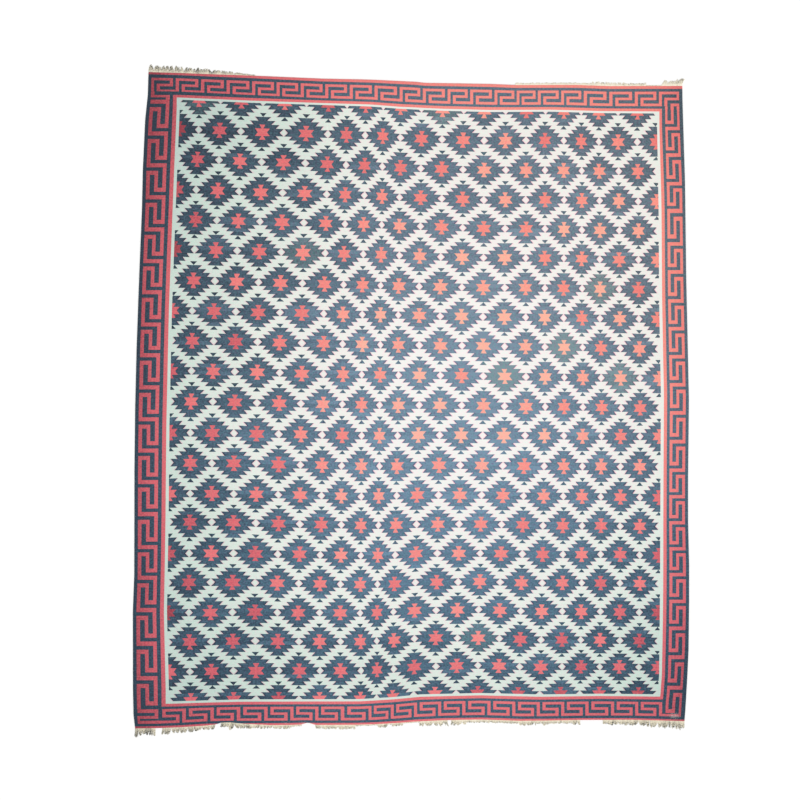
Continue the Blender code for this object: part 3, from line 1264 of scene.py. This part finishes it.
@dataclass
class Cloth:
    """The woven cloth: a thin closed sheet whose mesh lines follow the chart."""

    chart: Chart
    shift: Vector
    thickness: float
    name: str = "woven_cloth"
    rim_shares: tuple[float, ...] = (0.0, 0.004, 0.013)
    rim_thickness: tuple[float, ...] = (0.35, 0.78, 1.0)
    steps_per_half_column: int = 8
    steps_per_half_row: int = 8
    key_steps: int = 5
    ripples: Ripples = Ripples()
    light_pool: LightPool = LightPool()
    scuffs: tuple[Scuff, ...] = (
        Scuff(1.474, -1.768, 0.045, 0.022),
        Scuff(-0.600, -1.812, 0.030, 0.010),
        Scuff(-0.700, -1.806, 0.020, 0.008),
    )

    def lines(self, outer: Layers, inner: Layers, halves: int, steps: int) -> np.ndarray:
        """The chart lines that the mesh follows in one direction.

        Args:
            outer: Layers of the border where the count starts.
            inner: Layers of the border where it ends.
            halves: Half-columns or half-rows of the field between them.
            steps: Mesh lines for each of those.

        Returns:
            The lines, in chart units.
        """
        first = self.border_lines(outer)
        last = self.border_lines(inner)
        middle = np.arange(1, halves * steps) / steps + 1
        return np.concatenate([first, middle, halves + 2 - last[::-1]])

    def border_lines(self, layers: Layers) -> np.ndarray:
        """Mesh lines of one border, from the edge to the field.

        Args:
            layers: The border's layers.

        Returns:
            The lines, as shares of the border's width.
        """
        marks = layers.cumulative()
        across_key = np.linspace(marks[2], marks[3], self.key_steps + 1)
        lines = [*self.rim_shares, *marks[1:2], *across_key, *marks[4:]]
        return np.unique(np.round(lines, 5))

    def build(self) -> bpy.types.Object:
        """Make the sheet with its chart coordinates.

        Returns:
            The cloth, dressed and in place.
        """
        columns = self.lines(LEFT_LAYERS, RIGHT_LAYERS, self.chart.half_columns,
                             self.steps_per_half_column)
        rows = self.lines(FAR_LAYERS, NEAR_LAYERS, self.chart.half_rows, self.steps_per_half_row)
        c, r = np.meshgrid(columns, rows, indexing="ij")
        x, y = self.chart.place(c, r)
        y = self.chart.wear_in(x, y)
        values = self.chart_values(c, r, x, y)
        bm = bmesh.new()
        bm.verts.layers.int.new("spot")
        bm.verts.layers.int.new("upper")
        for name in values:
            bm.verts.layers.float_vector.new(name)
        spots = bm.verts.layers.int["spot"]
        bmesh.ops.create_grid(bm, x_segments=len(columns) - 1, y_segments=len(rows) - 1, size=0.5)
        for vert in bm.verts:
            i = round((vert.co.x + 0.5) * (len(columns) - 1))
            j = round((0.5 - vert.co.y) * (len(rows) - 1))
            vert[spots] = i * len(rows) + j
        raised = bmesh.ops.extrude_face_region(bm, geom=list(bm.faces), use_keep_orig=True)
        for part in raised["geom"]:
            if isinstance(part, bmesh.types.BMVert):
                part[bm.verts.layers.int["upper"]] = 1
        self.lay_out(bm, x.ravel(), y.ravel(), values, (len(columns), len(rows)))
        bmesh.ops.recalc_face_normals(bm, faces=list(bm.faces))
        self.map_plan(bm)
        for face in bm.faces:
            face.smooth = True
        for mark in ("spot", "upper"):
            bm.verts.layers.int.remove(bm.verts.layers.int[mark])
        return stand_up(self.name, bm, WovenFinish().material())

    def chart_values(self, c: np.ndarray, r: np.ndarray, x: np.ndarray, y: np.ndarray
                     ) -> dict[str, np.ndarray]:
        """The vectors that the material reads, one for each crossing of the mesh lines.

        Args:
            c: The crossings' column lines.
            r: Their row lines.
            x: Their places across the rug.
            y: Their places along it.

        Returns:
            The vectors, by attribute name.
        """
        nothing = np.zeros_like(x)
        end_unit, end_layer = self.chart.end_band(x, y)
        side_unit, side_layer = self.chart.side_band(x, y)
        edge = np.minimum(x - self.chart.left(y), self.chart.right(y) - x)
        # Painted light and shade, and the warmth of the painted light.
        fade, light_warmth = self.light_pool.fade(x, y, edge), self.light_pool.light_warmth(x, y)
        rubbed = sum(scuff.depth(x, y) for scuff in self.scuffs)
        return {
            name: np.stack([part.ravel() for part in parts], axis=1)
            for name, parts in (
                ("field_chart", (self.chart.field_column(c), self.chart.field_row(r), nothing)),
                ("end_band", (end_unit, end_layer, nothing)),
                ("side_band", (side_unit, side_layer, nothing)),
                # Painted light, the warmth of the painted light, and the real rubbed places.
                ("light_and_wear", (fade, light_warmth, rubbed)),
            )
        }

    def lay_out(self, bm: bmesh.types.BMesh, x: np.ndarray, y: np.ndarray,
                values: dict[str, np.ndarray], lines: tuple[int, int]) -> None:
        """Put every vertex where the chart says, and write what the material reads.

        Args:
            bm: The sheet, its vertices marked by crossing and by face of the cloth.
            x: Places of the crossings across the rug.
            y: Their places along it.
            values: Their vectors by name.
            lines: How many mesh lines cross the rug's width and its length.
        """
        across, along = lines
        layers = {name: bm.verts.layers.float_vector[name] for name in values}
        spots = bm.verts.layers.int["spot"]
        uppers = bm.verts.layers.int["upper"]
        for vert in bm.verts:
            spot = vert[spots]
            i, j = divmod(spot, along)
            rim = min(i, across - 1 - i, j, along - 1 - j)
            thick = self.thickness * self.rim_thickness[min(rim, len(self.rim_thickness) - 1)]
            level = self.thickness / 2 + self.ripples.rise(x[spot], y[spot])
            half = thick / 2 if vert[uppers] else -thick / 2
            vert.co = Vector((x[spot], y[spot], level + half)) + self.shift
            for name, layer in layers.items():
                vert[layer] = values[name][spot]

    @staticmethod
    def map_plan(bm: bmesh.types.BMesh) -> None:
        """Unwrap both faces of the cloth to its plan.

        Args:
            bm: The sheet, laid out.
        """
        uv = bm.loops.layers.uv.new("OFBake")
        xs = [vert.co.x for vert in bm.verts]
        ys = [vert.co.y for vert in bm.verts]
        low_x, low_y = min(xs), min(ys)
        wide, long = max(xs) - low_x, max(ys) - low_y
        for face in bm.faces:
            for loop in face.loops:
                place = loop.vert.co
                loop[uv].uv = ((place.x - low_x) / wide, (place.y - low_y) / long)


class End(Enum):
    """Which end of the rug, by the way out of it along Y."""

    FAR = 1
    NEAR = -1


@dataclass
class Fringe:
    """One end's cut warp: strands that come out of the cloth's edge and mat into locks."""

    end: End
    runs: list[Run]
    edge: Callable[[np.ndarray], np.ndarray]
    cloth: Cloth
    seed: int
    name: str
    lock_pitch: float = 0.0154
    lock_widths: tuple[float, float] = (0.5, 1.5)
    lock_lengths: tuple[float, float] = (0.88, 1.10)
    narrowest_lock: float = 0.3
    strands: int = 11
    strand_lengths: tuple[float, float] = (0.78, 1.0)
    middle_longer: float = 1.04
    sides_shorter: float = 0.28
    radius: float = 0.00105
    thickness_spread: tuple[float, float] = (0.8, 1.2)
    tip_size: float = 0.7
    clear_of_floor: float = 1.02
    crossing: float = 1.5
    root_unevenness: float = 0.3
    tuck: float = 0.004
    straight_share: float = 0.12
    gathering: tuple[float, float] = (0.05, 0.55)
    gathered_from: float = 0.02
    wander: float = 0.0018
    curl: float = 0.010
    curled_from: float = 0.04
    sides: int = 5
    bends: int = 4
    tone: float = 0.38
    # How much lighter the pool of painted light makes the warp.
    light_gain: float = 1.05
    lock_tones: float = 0.08
    strand_tones: float = 0.11
    darker_lock: float = 0.14

    def build(self, material: bpy.types.Material) -> bpy.types.Object:
        """Make the fringe.

        Args:
            material: The strands' material.

        Returns:
            The fringe, in place.
        """
        draw = random.Random(self.seed)
        whole = bmesh.new()
        for run in self.runs:
            place = run.start
            while place < run.stop - self.lock_pitch * self.narrowest_lock:
                width = min(self.lock_pitch * draw.uniform(*self.lock_widths), run.stop - place)
                middle = place + width / 2
                root = Vector((middle, float(self.edge(middle)), 0.0))
                share = (middle - run.start) / (run.stop - run.start)
                length = run.first + share * (run.last - run.first)
                length *= draw.uniform(*self.lock_lengths)
                self.add_lock(whole, root, width, length * MILLIMETRE, run.lean * MILLIMETRE, draw)
                place += width
        return stand_up(self.name, whole, material)

    def add_lock(self, whole: bmesh.types.BMesh, root: Vector, width: float, length: float,
                 lean: float, draw: random.Random) -> None:
        """Add one lock of strands.

        Args:
            whole: The fringe that it joins.
            root: The middle of its root, on the cloth's edge.
            width: How wide it is at the root.
            length: How far it reaches.
            lean: How far its tip leans to the right.
            draw: The fringe's random draw.
        """
        bm = bmesh.new()
        bm.verts.layers.float_vector.new("strand")
        # The fringe is painted lighter in the same pool of painted light as the cloth.
        lit_share = float(self.cloth.light_pool.fade(root.x, root.y, 1.0))
        tone = self.tone + self.light_gain * lit_share
        own_tone = draw.uniform(-self.lock_tones, self.lock_tones)
        # One lock in five is darker.
        tone += own_tone - draw.choice((0.0, 0.0, 0.0, 0.0, self.darker_lock))
        tip_x = lean + draw.uniform(-1, 1) * self.curl * min(1.0, length / self.curled_from)
        gathering = draw.uniform(*self.gathering) * min(1.0, length / self.gathered_from)
        count = max(2, round(self.strands * width / self.lock_pitch))
        for number in range(count):
            share = (number + 0.5) / count - 0.5
            start = root + Vector((share * width, 0, 0))
            own_length = length * draw.uniform(*self.strand_lengths)
            own_length *= self.middle_longer - abs(share) * self.sides_shorter
            drift = tip_x - share * width * gathering
            shade = tone + draw.uniform(-self.strand_tones, self.strand_tones)
            self.add_strand(bm, start, own_length, drift, shade, draw)
        mesh = bpy.data.meshes.new("lock")
        bm.to_mesh(mesh)
        bm.free()
        whole.from_mesh(mesh)
        bpy.data.meshes.remove(mesh)

    def add_strand(self, bm: bmesh.types.BMesh, start: Vector, length: float, drift: float,
                   shade: float, draw: random.Random) -> None:
        """Draw one strand out of the cloth's edge and down to the floor, a bend at a time.

        Args:
            bm: The lock that it joins.
            start: Its root, on the cloth's edge.
            length: How far it reaches.
            drift: How far its tip lies to the right of its root.
            shade: Its place among the yarn's colours.
            draw: The fringe's random draw.
        """
        out = self.end.value
        layer = bm.verts.layers.float_vector["strand"]
        radius = self.radius * draw.uniform(*self.thickness_spread)
        rest = radius * (self.clear_of_floor + draw.choice((0.0, 0.0, self.crossing)))
        height = self.cloth.thickness / 2 + self.cloth.ripples.rise(start.x, start.y)
        uneven = draw.uniform(-self.root_unevenness, self.root_unevenness) * MILLIMETRE
        height = max(radius * self.clear_of_floor, height + uneven)
        depth = self.tuck + length * self.straight_share
        lay = Matrix.Rotation(-out * math.pi / 2, 4, "X")
        centre = start + self.cloth.shift + Vector((0, out * (depth / 2 - self.tuck), height))
        made = bmesh.ops.create_cone(
            bm, cap_ends=True, segments=self.sides, radius1=radius, radius2=radius, depth=depth,
            matrix=Matrix.Translation(centre) @ lay)
        for vert in made["verts"]:
            vert[layer] = (shade, 0.0, 0.0)
        outward = Vector((0, out, 0))
        faces = {face for vert in made["verts"] for face in vert.link_faces}
        end = max(faces, key=lambda face: face.calc_center_median().dot(outward))
        left = length * (1 - self.straight_share)
        for bend in range(1, self.bends + 1):
            end = bmesh.ops.extrude_discrete_faces(bm, faces=[end])["faces"][0]
            share = bend / self.bends
            sway = draw.uniform(-1, 1) * self.wander * share
            bend_share = (2 * bend - 1) / self.bends ** 2
            move = Vector((drift * bend_share + sway, out * left / self.bends,
                           (rest - height) / self.bends))
            middle = end.calc_center_median()
            size = self.tip_size if bend == self.bends else 1.0
            for vert in end.verts:
                vert.co = middle + (vert.co - middle) * size + move
                vert.co.z = max(vert.co.z, 0.0001)
                vert[layer] = (shade, share, 0.0)


@dataclass(frozen=True)
class Studio:
    """A plain pale floor under even studio light, seen from straight above."""

    view_width: float = 4.48
    lens: float = 85.0
    sensor: float = 36.0
    middle: Point = Point(-0.0615, 0.0016)
    floor_size: float = 40.0
    floor_shade: tuple[float, ...] = (0.80, 0.80, 0.79, 1.0)
    floor_colour: tuple[float, ...] = (0.86, 0.86, 0.855, 1.0)
    floor_roughness: float = 0.9
    sky: float = 0.78
    window: float = 0.42
    window_tilt: float = 38.0
    window_bearing: float = 35.0
    window_spread: float = 25.0

    def set_up(self) -> None:
        """Make the floor, the light and the camera."""
        self.lay_floor()
        self.light()
        self.point_camera()

    def lay_floor(self) -> None:
        """Lay a wide pale floor."""
        bm = bmesh.new()
        bmesh.ops.create_grid(bm, x_segments=8, y_segments=8, size=self.floor_size / 2)
        bench = Bench("pale_floor")
        grain = bench.noise(3, 3) * 0.02 + 0.99
        colour = bench.shade_card(grain, [self.floor_shade, self.floor_colour])
        bench.coat(colour, self.floor_roughness)
        floor = stand_up("floor", bm, bench.material)

    def light(self) -> None:
        """Light the rug evenly from the whole sky, and a little more from one side."""
        world = bpy.data.worlds.new("soft_sky")
        world.use_nodes = True
        background = world.node_tree.nodes["Background"]
        background.inputs["Color"].default_value = (1.0, 1.0, 1.0, 1.0)
        background.inputs["Strength"].default_value = self.sky
        bpy.context.scene.world = world
        lamp = bpy.data.lights.new("window", "SUN")
        tilt = math.radians(self.window_tilt)
        lamp.energy = self.window * math.pi / math.cos(tilt)
        lamp.angle = math.radians(self.window_spread)
        window = bpy.data.objects.new("window", lamp)
        window.rotation_euler = Euler((tilt, 0.0, math.radians(self.window_bearing)))
        bpy.context.scene.collection.objects.link(window)
        bpy.context.scene.view_settings.view_transform = "Standard"

    def point_camera(self) -> None:
        """Hang the camera over the middle of the picture."""
        data = bpy.data.cameras.new("camera")
        data.lens = self.lens
        data.sensor_width = self.sensor
        camera = bpy.data.objects.new("camera", data)
        height = self.view_width * self.lens / self.sensor
        camera.location = (self.middle.x, self.middle.y, height)
        bpy.context.scene.collection.objects.link(camera)
        bpy.context.scene.camera = camera


def plan_shift() -> Vector:
    """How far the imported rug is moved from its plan, to be centred on the floor.

    Returns:
        The shift.
    """
    low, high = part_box("cloth")
    leftmost = min(point.x for point in LEFT_SELVEDGE)
    furthest = max(point.y for point in FAR_END)
    return Vector((low.x - leftmost, high.y - furthest, 0.0))


def outline_area(chart: Chart, steps: int = 400) -> float:
    """The area inside the cloth's four edges.

    Args:
        chart: The weaver's chart.
        steps: How many points each edge is measured by.

    Returns:
        The area, in square metres.
    """
    last_c, last_r = chart.half_columns + 2, chart.half_rows + 2
    across, along = np.linspace(0, last_c, steps), np.linspace(0, last_r, steps)
    still = np.zeros(steps)
    c = np.concatenate([across, still + last_c, across[::-1], still])
    r = np.concatenate([still, along, still + last_r, along[::-1]])
    x, y = chart.place(c, r)
    y = chart.wear_in(x, y)
    return float(abs(np.sum(x * np.roll(y, -1) - np.roll(x, -1) * y)) / 2)


def main() -> None:
    """Weave the rug, add its fringes and light it."""
    logging.basicConfig(level=logging.INFO, format="%(name)s: %(message)s")
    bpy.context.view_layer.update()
    low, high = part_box("cloth")
    shift = plan_shift()
    chart = Chart()
    sheet = Cloth(chart, shift, thickness=high.z)
    cloth = sheet.build()
    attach(cloth, BODY)
    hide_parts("cloth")
    log.info("%s: %d faces", cloth.name, len(cloth.data.polygons))

    warp = WarpFinish().material()
    for end, runs, edge, seed, node in (
            (End.FAR, FAR_RUNS, chart.far, 7, "fringe_far"),
            (End.NEAR, NEAR_RUNS, chart.near_worn, 19, "fringe_near")):
        fringe = Fringe(end, runs, edge, sheet, seed, f"{node}_strands").build(warp)
        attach(fringe, BODY)
        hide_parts(node)
        log.info("%s: %d faces", fringe.name, len(fringe.data.polygons))

    area = outline_area(chart)
    log.info("cloth inside its edges: %.3f square metres", area)
    Studio().set_up()


if __name__ == "__main__":
    main()
